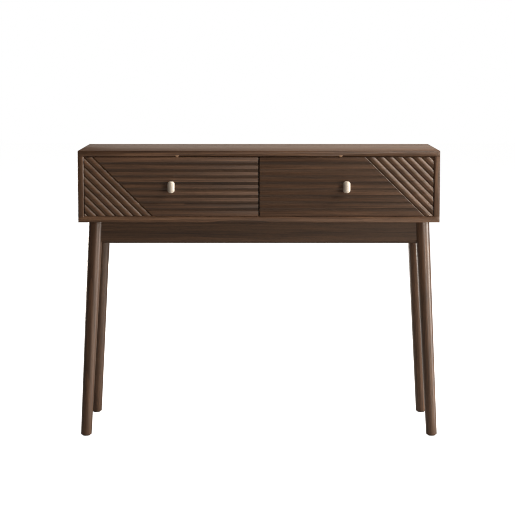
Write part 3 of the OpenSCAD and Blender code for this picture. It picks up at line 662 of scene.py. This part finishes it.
# Hanger bolts: M8 steel rods with a rolled thread along the whole length, one to each leg.
THREAD_PITCH = 1.25 * MM
THREAD_DEPTH = 0.7 * MM
THREAD_AROUND = 20
END_CHAMFER = 0.8 * MM
END_RUN = 1 * MM
BOLT_R = 4 * MM
BOLT_IN_LEG = 5 * MM
BLOCK_INSET = 55 * MM
BLOCK_SIDE = 60 * MM
BOLT_PAST_BLOCK = (1.6 + 6.5 + 5) * MM


def threaded_rod(form, start, end, radius):
    way = (end - start).normalized()
    turn = way.to_track_quat("Z", "Y").to_matrix()
    length = (end - start).length
    count = int(length / (THREAD_PITCH / 4))
    rings = []
    for i in range(count + 1):
        along = length * i / count
        tip = END_CHAMFER * max(0.0, 1 - min(along, length - along) / END_RUN)
        ring = []
        for k in range(THREAD_AROUND):
            turns = (along / THREAD_PITCH - k / THREAD_AROUND) % 1.0
            r = radius - tip - THREAD_DEPTH * abs(2 * turns - 1)
            angle = 2 * math.pi * k / THREAD_AROUND
            ring.append(form.verts.new(start + turn @ Vector((
                r * math.cos(angle), r * math.sin(angle), along))))
        rings.append(ring)
    close_rings(form, rings)


bolts_low, bolts_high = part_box("hanger_bolts")
bolt_form = bmesh.new()
bolt_z = (bolts_low.z + bolts_high.z) / 2
bolt_inset = TOP_INSET - (TOP_INSET - FOOT_INSET) * (case_z - bolt_z) / case_z
near_inset = bolt_inset - BOLT_IN_LEG / math.sqrt(2)
far_inset = BLOCK_INSET + BLOCK_SIDE / 2 + BOLT_PAST_BLOCK / math.sqrt(2)
for side in (-1, 1):
    for end in (-1, 1):
        face_y = front_y if end < 0 else back_y
        near, far = (Vector((side * (-top_low.x - inset), face_y - end * inset, bolt_z))
                     for inset in (near_inset, far_inset))
        threaded_rod(bolt_form, near, far, BOLT_R)
bolts = finished("steel_hanger_bolts", mesh_from(bolt_form, "bolts"), ease=0, sharp=80)
fit_piece(bolts, "table", "zinc_steel", [zinc], "hanger_bolts")
for part, ease in (("washers", 0.2 * MM), ("nuts", 0.5 * MM)):
    fit_piece(softened(f"hanger_{part}", f"steel_{part}", ease=ease), "table", "zinc_steel", [
        zinc], f"hanger_{part}")

# Angle brackets: bent steel strip that ties the aprons to the bottom panel, on low round-headed screws.
fit_piece(softened("angle_brackets", "steel_angle_brackets", ease=0.5 * MM, turns=3), "table", "zinc_steel", [
    zinc], "angle_brackets")
drive_screws("bracket_screws", "table", PAN_HEAD)


# Glides: moulded nylon discs on a nail under each foot, dull grey-brown with a fine moulded grain.
def moulded_nylon():
    material, tree = new_material("moulded_nylon")
    here = add(tree, "ShaderNodeTexCoord").outputs["Object"]
    grain = add(tree, "ShaderNodeTexNoise", {"Vector": here, "Scale": 900.0, "Detail": 2.0}).outputs["Fac"]
    tint = add(tree, "ShaderNodeValToRGB", {"Fac": grain})
    set_tones(tint, (0, 1), ("#4c443c", "#655b50"))
    bump = add(tree, "ShaderNodeBump", {"Height": grain, "Strength": 0.2, "Distance": 0.0002}).outputs[0]
    surface = add(tree, "ShaderNodeBsdfPrincipled", {
        "Base Color": tint.outputs["Color"], "Roughness": 0.5, "Normal": bump, "IOR": 1.53})
    add(tree, "ShaderNodeOutputMaterial", {"Surface": surface.outputs[0]})
    return material


fit_piece(softened("leg_glides", "nylon_glides", ease=0, sharp=50), "table", "glide_nylon", [
    moulded_nylon()], "leg_glides")

# Slides: ball-bearing, rolled from zinc-plated steel. A channel is screwed to each wall of a bay, a
# narrower one to each side of its drawer, and a short cage of balls rolls between the two.
for hand in ("left", "right"):
    for node, body in ((f"{hand}_bay_rails", "table"), (f"{hand}_drawer_rails", f"{hand}_drawer")):
        fit_piece(softened(node, f"steel_{node}", ease=0.3 * MM), body, "zinc_steel", [zinc], node)
    drive_screws(f"{hand}_drawer_rail_screws", f"{hand}_drawer", FLAT_HEAD)
drive_screws("bay_rail_screws", "table", FLAT_HEAD)

CAGE_SHEET = 0.8 * MM
CAGE_REACH = 6.5 * MM
BALL_R = 1.7 * MM
BALL_PITCH = 12 * MM
BALL_COUNT = 6
BALL_IN = 4.3 * MM


# The tree sets one row of balls along Y from each starting point.
def ball_tree():
    tree = bpy.data.node_groups.new("ball_rows", "GeometryNodeTree")
    for name, kind in (("Starts", "Geometry"), ("Radius", "Float"), ("Pitch", "Float"), ("Count", "Int"),
                       ("Finish", "Material")):
        tree.interface.new_socket(name, in_out="INPUT", socket_type=f"NodeSocket{kind}")
    tree.interface.new_socket("Balls", in_out="OUTPUT", socket_type="NodeSocketGeometry")
    given = add(tree, "NodeGroupInput").outputs
    ball = add(tree, "GeometryNodeMeshIcoSphere", {
        "Radius": given["Radius"], "Subdivisions": 3}).outputs["Mesh"]
    step = add(tree, "ShaderNodeCombineXYZ", {"Y": given["Pitch"]}).outputs[0]
    row = add(tree, "GeometryNodeMeshLine", {
        "Count": given["Count"], "Start Location": (0, 0, 0), "Offset": step}, mode="OFFSET").outputs[0]
    balls = add(tree, "GeometryNodeInstanceOnPoints", {"Points": row, "Instance": ball}).outputs[0]
    starts = add(tree, "GeometryNodeMeshToPoints", {"Mesh": given["Starts"]}).outputs[0]
    rows = add(tree, "GeometryNodeInstanceOnPoints", {"Points": starts, "Instance": balls}).outputs[0]
    real = add(tree, "GeometryNodeRealizeInstances", {"Geometry": rows}).outputs[0]
    done = add(tree, "GeometryNodeSetMaterial", {"Geometry": real, "Material": given["Finish"]}).outputs[0]
    add(tree, "NodeGroupOutput", {"Balls": done})
    return tree


ball_rows = ball_tree()
for hand in ("left", "right"):
    low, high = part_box(f"{hand}_ball_cages")
    middle_y, middle_z = (low.y + high.y) / 2, (low.z + high.z) / 2
    ball_z = (high.z - low.z) / 2 - BALL_R
    tall = ball_z + CAGE_SHEET / 2
    strips = bmesh.new()
    starts = []
    for wall, way in ((low.x, 1), (high.x, -1)):
        inner = tall - CAGE_SHEET
        section = [(0, -tall), (CAGE_REACH, -tall), (CAGE_REACH, -inner), (CAGE_SHEET, -inner),
                   (CAGE_SHEET, inner), (CAGE_REACH, inner), (CAGE_REACH, tall), (0, tall)]
        strips.from_mesh(bar_mesh("strip", "y", low.y, high.y, [
            (wall + way * x, middle_z + z) for x, z in section]))
        starts += [(wall + way * BALL_IN, middle_y - BALL_PITCH * (BALL_COUNT - 1) / 2, middle_z + z)
                   for z in (-ball_z, ball_z)]
    cage = finished(f"steel_{hand}_cage_strips", mesh_from(strips, "strips"), ease=0.2 * MM)
    fit_piece(cage, f"{hand}_cages", "zinc_steel", [zinc], f"{hand}_ball_cages")
    mesh = bpy.data.meshes.new("starts")
    mesh.from_pydata(starts, [], [])
    balls = in_scene(f"steel_{hand}_balls", mesh)
    grow(balls, ball_rows, radius=BALL_R, pitch=BALL_PITCH, count=BALL_COUNT, finish=zinc)
    fit_piece(balls, f"{hand}_cages", "zinc_steel", [zinc], f"{hand}_ball_cages")

# Drawer boxes: birch plywood boards, dowelled and glued at the corners, with the bottom in a groove.
# The arrises are sanded, and the laminations show along the top edges.
BOARDS = (("drawer_inner_front", "x", "y"), ("drawer_back", "x", "y"), ("drawer_outer_side", "y", "x"),
          ("drawer_inner_side", "y", "x"), ("drawer_bottom", "x", "z"))
for hand in ("left", "right"):
    for board, grain, through in BOARDS:
        node = f"{hand}_{board}"
        fit_piece(softened(node, f"plywood_{node}", ease=0.5 * MM), f"{hand}_drawer", "birch_ply", [
            birch_plywood(node, grain, through)], node)
    drive_screws(f"{hand}_front_screws", f"{hand}_drawer", FLAT_HEAD)
    drive_screws(f"{hand}_knob_screw", f"{hand}_drawer", KNOB_SCREW)

# Drawer fronts: walnut with eased arrises, screwed to the box from inside. Outwards of a line at 45
# degrees each is cut into slanting reeds, round bars with a sharp groove between each two. The flat beside
# them is bevelled along that line, and shallow level grooves part it into nine bands.
FRONT_EASE = 0.7 * MM
REED_PITCH = 18 * MM
REED_DEPTH = 4.5 * MM
REED_FIELD = 186 * MM
REED_SINK = 0.3 * MM
REED_LENGTH = 0.8
REED_COUNT = 9
FIELD_BEVEL = 2.5 * MM
BAND_COUNT = 9
GROOVE_HALF = 4.5 * MM
GROOVE_DEPTH = 2 * MM
GROOVE_RUN = 2 * MM
FIELD_PAST = 0.6 * MM
MILLED_DEPTH = 6 * MM
FRONT_TONES = ("#190f08", "#372519", "#543c2a", "#735641", "#947257")
# Darker copies of the front's tones, laid on the level grooves' faces as painted shade.
GROOVE_SHADE_TONES = ("#140c06", "#2d1e14", "#443122", "#5d4635", "#785d47")


# The tree lays bars of the crest's radius side by side across the field. What they leave of the field,
# between them and above them, is the waste, and it is taken out of the front. Square bars on edge then cut
# the grooves, one to each point of a second row, and the bevel.
def reed_tree():
    tree = bpy.data.node_groups.new("reeding", "GeometryNodeTree")
    tree.interface.new_socket("Blank", in_out="INPUT", socket_type="NodeSocketGeometry")
    for name, kind in (("Field", "Object"), ("Pitch", "Float"), ("Depth", "Float"), ("Sink", "Float"),
                       ("Count", "Int"), ("Start", "Vector"), ("Length", "Float"), ("Slant", "Vector"),
                       ("Bevel", "Float"), ("Groove", "Float"), ("Groove Shape", "Vector"),
                       ("Grooves", "Int"), ("First Groove", "Vector"), ("Groove Step", "Vector"),
                       ("Finish", "Material")):
        tree.interface.new_socket(name, in_out="INPUT", socket_type=f"NodeSocket{kind}")
    tree.interface.new_socket("Reeded", in_out="OUTPUT", socket_type="NodeSocketGeometry")
    given = add(tree, "NodeGroupInput").outputs
    half_pitch = add(tree, "ShaderNodeMath", {0: given["Pitch"], 1: 0.5}, operation="MULTIPLY").outputs[0]
    half_squared = add(tree, "ShaderNodeMath", {
        0: half_pitch, 1: half_pitch}, operation="MULTIPLY").outputs[0]
    squares = add(tree, "ShaderNodeMath", {
        0: given["Depth"], 1: given["Depth"], 2: half_squared}, operation="MULTIPLY_ADD").outputs[0]
    twice_depth = add(tree, "ShaderNodeMath", {0: given["Depth"], 1: 2.0}, operation="MULTIPLY").outputs[0]
    crest = add(tree, "ShaderNodeMath", {0: squares, 1: twice_depth}, operation="DIVIDE").outputs[0]
    bar = add(tree, "GeometryNodeMeshCylinder", {
        "Vertices": 96, "Radius": crest, "Depth": given["Length"]}).outputs["Mesh"]
    lying = add(tree, "GeometryNodeTransform", {
        "Geometry": bar, "Rotation": (0, math.pi / 2, 0)}).outputs[0]
    down = add(tree, "ShaderNodeMath", {0: given["Pitch"], 1: -1.0}, operation="MULTIPLY").outputs[0]
    half_down = add(tree, "ShaderNodeMath", {0: given["Pitch"], 1: -0.5}, operation="MULTIPLY").outputs[0]
    step = add(tree, "ShaderNodeCombineXYZ", {"Z": down}).outputs[0]
    sunk = add(tree, "ShaderNodeMath", {0: crest, 1: given["Sink"]}, operation="ADD").outputs[0]
    first = add(tree, "ShaderNodeCombineXYZ", {"Y": sunk, "Z": half_down}).outputs[0]
    rows = add(tree, "GeometryNodeMeshLine", {
        "Count": given["Count"], "Start Location": first, "Offset": step}, mode="OFFSET").outputs[0]
    bars = add(tree, "GeometryNodeInstanceOnPoints", {"Points": rows, "Instance": lying}).outputs[0]
    slanted = add(tree, "GeometryNodeTransform", {
        "Geometry": bars, "Translation": given["Start"], "Rotation": given["Slant"]}).outputs[0]
    solid_bars = add(tree, "GeometryNodeRealizeInstances", {"Geometry": slanted}).outputs[0]
    field = add(tree, "GeometryNodeObjectInfo", {"Object": given["Field"]}).outputs["Geometry"]
    waste = add(tree, "GeometryNodeMeshBoolean", {
        "Mesh 1": field, "Mesh 2": solid_bars, "Self Intersection": True},
        operation="DIFFERENCE", solver="EXACT").outputs["Mesh"]
    cutters = []
    for size in (given["Bevel"], given["Groove"]):
        square = add(tree, "GeometryNodeMeshCylinder", {
            "Vertices": 4, "Radius": size, "Depth": given["Length"]}).outputs["Mesh"]
        cutters.append(add(tree, "GeometryNodeTransform", {
            "Geometry": square, "Rotation": (0, math.pi / 2, 0)}).outputs[0])
    bevel = add(tree, "GeometryNodeTransform", {
        "Geometry": cutters[0], "Translation": given["Start"], "Rotation": given["Slant"]}).outputs[0]
    groove_row = add(tree, "GeometryNodeMeshLine", {
        "Count": given["Grooves"], "Start Location": given["First Groove"], "Offset": given["Groove Step"]},
        mode="OFFSET").outputs[0]
    set_out = add(tree, "GeometryNodeInstanceOnPoints", {
        "Points": groove_row, "Instance": cutters[1], "Scale": given["Groove Shape"]}).outputs[0]
    grooves = add(tree, "GeometryNodeRealizeInstances", {"Geometry": set_out}).outputs[0]
    cut = add(tree, "GeometryNodeMeshBoolean", {
        "Mesh 1": given["Blank"]}, operation="DIFFERENCE", solver="EXACT")
    for cutter in (waste, bevel, grooves):
        tree.links.new(cutter, cut.inputs["Mesh 2"])
    real = add(tree, "GeometryNodeRealizeInstances", {"Geometry": cut.outputs["Mesh"]}).outputs[0]
    done = add(tree, "GeometryNodeSetMaterial", {"Geometry": real, "Material": given["Finish"]}).outputs[0]
    add(tree, "NodeGroupOutput", {"Reeded": done})
    return tree


reeding = reed_tree()
reed_finish = walnut("walnut_planed_reeds", "x", (0.9, 1.1, 0.5), (
    "#2a1b10", "#45301f", "#5c432f", "#735742", "#8c6e55"), contrast=0.45, roughness=0.3, coat=0.3)


for hand, side in (("left", -1), ("right", 1)):
    low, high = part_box(f"{hand}_drawer_front")
    height = high.z - low.z
    corner = (low.x, low.z) if side < 0 else (high.x, high.z)
    outline = [(-CUT_PAST, -CUT_PAST), (REED_FIELD + CUT_PAST, -CUT_PAST),
               (REED_FIELD - height - CUT_PAST, height + CUT_PAST), (-CUT_PAST, height + CUT_PAST)]
    field = in_scene("field", bar_mesh(
        "field", "y", low.y - CUT_PAST, low.y + REED_SINK + REED_DEPTH + FIELD_PAST,
        [(corner[0] - side * x, corner[1] - side * z) for x, z in outline]))
    # Each front's finish, and a darker copy of it for the grooves' faces: painted shade.
    finish, painted_groove_shade = (
        walnut(name, "x", (side * 1.3, 0.6, 0.9 + side * 0.33), tones, ring=31, contrast=0.5, wander=12)
        for name, tones in ((f"walnut_planed_{hand}_front", FRONT_TONES),
                            (f"walnut_stained_{hand}_grooves", GROOVE_SHADE_TONES)))
    front = finished(f"reeded_{hand}_front", box_mesh("front", low, high), ease=FRONT_EASE, turns=3)
    band = height / BAND_COUNT
    groove_at = REED_FIELD - band - GROOVE_RUN + REED_LENGTH / 2
    grow(front, reeding, sharp=15, field=field, pitch=REED_PITCH, depth=REED_DEPTH, sink=REED_SINK,
         count=REED_COUNT, start=(corner[0] - side * REED_FIELD, low.y, corner[1]), length=REED_LENGTH,
         slant=(0, math.radians(45 if side < 0 else 225), 0), bevel=FIELD_BEVEL, groove=GROOVE_HALF,
         groove_shape=(1.0, GROOVE_DEPTH / GROOVE_HALF, 1.0), grooves=BAND_COUNT - 1,
         first_groove=(corner[0] - side * groove_at, low.y, corner[1] - side * band),
         groove_step=(side * band, 0, -side * band), finish=finish)
    bpy.data.objects.remove(field)

    # The faces sunk between the front's arrises are the reeds' as far as the bevel, and then the grooves',
    # which take the darker tones: painted shade, laid in to draw the grooves' dark lines.
    def milled(face):
        x, y, z = face.center
        inwards = min(x - low.x, high.x - x, z - low.z, high.z - z)
        if inwards < FRONT_EASE or not low.y + REED_SINK / 2 < y < low.y + MILLED_DEPTH:
            return 0
        from_corner = side * (corner[0] - x + corner[1] - z)
        return 1 if from_corner < REED_FIELD + FIELD_BEVEL else 2

    fit_piece(front, f"{hand}_drawer", "walnut_veneer", [finish, reed_finish, painted_groove_shade],
              f"{hand}_drawer_front", pick=milled)

# Knobs: slip-cast ceramic under a cream glaze, round across and squared off with soft corners at the top
# and bottom, flat behind, on a round neck. A screw from inside the drawer holds each.
KNOB_CORNER = 7.5 * MM
NECK_R = 6 * MM
NECK_LENGTH = 8 * MM
NECK_SUNK = 4 * MM
KNOB_FLATTENING = 0.3
KNOB_LEVELS = 28
KNOB_AROUND = 48


# Cream glaze: near white and glossy, pooling a little thicker and yellower in slow patches.
def glazed_ceramic():
    material, tree = new_material("cream_glazed_ceramic")
    here = add(tree, "ShaderNodeTexCoord").outputs["Object"]
    pooling = add(tree, "ShaderNodeTexNoise", {"Vector": here, "Scale": 70.0, "Detail": 2.0}).outputs["Fac"]
    colour = add(tree, "ShaderNodeValToRGB", {"Fac": pooling})
    set_tones(colour, (0, 1), ("#c4baad", "#d2cabe"))
    ripple = add(tree, "ShaderNodeTexNoise", {"Vector": here, "Scale": 160.0, "Detail": 1.0}).outputs["Fac"]
    bump = add(tree, "ShaderNodeBump", {"Height": ripple, "Strength": 0.05, "Distance": 0.0005}).outputs[0]
    surface = add(tree, "ShaderNodeBsdfPrincipled", {
        "Base Color": colour.outputs["Color"], "Roughness": 0.35, "IOR": 1.5, "Normal": bump,
        "Coat Weight": 0.5, "Coat Roughness": 0.12})
    add(tree, "ShaderNodeOutputMaterial", {"Surface": surface.outputs[0]})
    return material


ceramic = glazed_ceramic()
for hand in ("left", "right"):
    low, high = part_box(f"{hand}_drawer_knob")
    centre = (low + high) / 2
    half_w, half_h = (high.x - low.x) / 2, (high.z - low.z) / 2
    axis_y, back = low.y + half_w, high.y - NECK_LENGTH
    form = bmesh.new()
    rings = []
    for i in range(KNOB_LEVELS + 1):
        lift = -half_h * math.cos(math.pi * i / KNOB_LEVELS)
        into = max(0.0, abs(lift) - (half_h - KNOB_CORNER))
        reach = half_w - KNOB_CORNER + math.sqrt(max(KNOB_CORNER ** 2 - into ** 2, 0))
        bulge = half_w * (1 - KNOB_FLATTENING + KNOB_FLATTENING * reach / half_w)
        rings.append([form.verts.new((
            centre.x + reach * math.cos(2 * math.pi * k / KNOB_AROUND),
            min(axis_y + bulge * math.sin(2 * math.pi * k / KNOB_AROUND), back),
            centre.z + lift)) for k in range(KNOB_AROUND)])
    close_rings(form, rings)
    neck = bmesh.new()
    whole_neck = NECK_LENGTH + NECK_SUNK
    place = Matrix.Translation((centre.x, high.y - whole_neck / 2, centre.z))
    bmesh.ops.create_cone(neck, cap_ends=True, segments=KNOB_AROUND, radius1=NECK_R, radius2=NECK_R,
                          depth=whole_neck, matrix=place @ Matrix.Rotation(math.pi / 2, 4, "X"))
    knob = finished(f"ceramic_{hand}_knob", mesh_from(form, "head"), joined=[mesh_from(neck, "neck")],
                    ease=0, sharp=50)
    fit_piece(knob, f"{hand}_drawer", "knob_glaze", [ceramic], f"{hand}_drawer_knob")

# Stage: a wide sheet of white paper. It is drawn just white enough to run into the white surround, with
# the faintest shade under the feet; to other rays it is a mid grey, so it fills the dark side only a little.
FLOOR_HALF = 15.0


def white_paper():
    material, tree = new_material("white_paper_floor")
    fibre = add(tree, "ShaderNodeTexNoise", {
        "Vector": add(tree, "ShaderNodeTexCoord").outputs["Object"], "Scale": 400.0}).outputs["Fac"]
    shade_of = add(tree, "ShaderNodeMapRange", {"Value": fibre, "To Min": 0.58, "To Max": 0.62}).outputs[0]
    seen = add(tree, "ShaderNodeAddShader", {
        0: add(tree, "ShaderNodeEmission", {"Color": (1, 1, 1, 1), "Strength": 0.95}).outputs[0],
        1: add(tree, "ShaderNodeBsdfDiffuse", {"Color": shade_of}).outputs[0]}).outputs[0]
    other = add(tree, "ShaderNodeBsdfDiffuse", {"Color": linear("#a3a09d")}).outputs[0]
    mixed = add(tree, "ShaderNodeMixShader", {
        0: add(tree, "ShaderNodeLightPath").outputs["Is Camera Ray"], 1: other, 2: seen}).outputs[0]
    add(tree, "ShaderNodeOutputMaterial", {"Surface": mixed})
    return material


paper = bpy.data.meshes.new("floor")
paper.from_pydata([(x * FLOOR_HALF, y * FLOOR_HALF, 0) for x, y in ((-1, -1), (1, -1), (1, 1), (-1, 1))],
                  [], [(0, 1, 2, 3)])
paper.materials.append(white_paper())
floor = in_scene("floor", paper)

# Light: a tall softbox well out on the right and a little in front; a weaker one in front; one high on
# the right, one overhead and a faint one behind for the top; one low behind for the back and the left
# side; and a dim surround that the camera sees as white.
surround = bpy.data.worlds.new("surround")
scene.world = surround
surround.use_nodes = True
sky = surround.node_tree
sky.nodes.clear()
dim = add(sky, "ShaderNodeBackground", {"Color": (1, 0.98, 0.96, 1), "Strength": 0.07}).outputs[0]
white = add(sky, "ShaderNodeBackground", {"Color": (1, 1, 1, 1), "Strength": 1.0}).outputs[0]
sky_mix = add(sky, "ShaderNodeMixShader", {
    0: add(sky, "ShaderNodeLightPath").outputs["Is Camera Ray"], 1: dim, 2: white}).outputs[0]
add(sky, "ShaderNodeOutputWorld", {"Surface": sky_mix})


def softbox(name, place, aim, width, height, power, colour):
    light = bpy.data.lights.new(name, "AREA")
    light.shape = "RECTANGLE"
    light.size = width
    light.size_y = height
    light.energy = power
    light.color = linear(colour)[:3]
    box = in_scene(name, light)
    box.location = place
    box.rotation_euler = (Vector(aim) - Vector(place)).to_track_quat("-Z", "Y").to_euler()


softbox("front_right_softbox", (2.4, -3.5, 0.9), (0.1, -0.1, 0.65), 1.2, 1.3, 60, "#fff4e8")
softbox("side_softbox", (6.2, -0.7, 1.3), (0.1, -0.1, 0.6), 1.7, 3.1, 470, "#fff8f0")
softbox("high_softbox", (2.0, -0.98, 2.3), (0.1, -0.1, 0.7), 1.5, 1.0, 50, "#fff4ea")
softbox("overhead_softbox", (0.4, 0.3, 2.8), (0, 0, 0.8), 1.6, 1.2, 46, "#fff4ea")
softbox("back_softbox", (0.6, 3.2, 1.35), (0, 0, 0.75), 3.0, 0.8, 5.5, "#fff2e4")
softbox("low_rear_softbox", (-2.0, 3.2, 0.45), (0, 0, 0.45), 2.6, 0.6, 90, "#fff4ea")
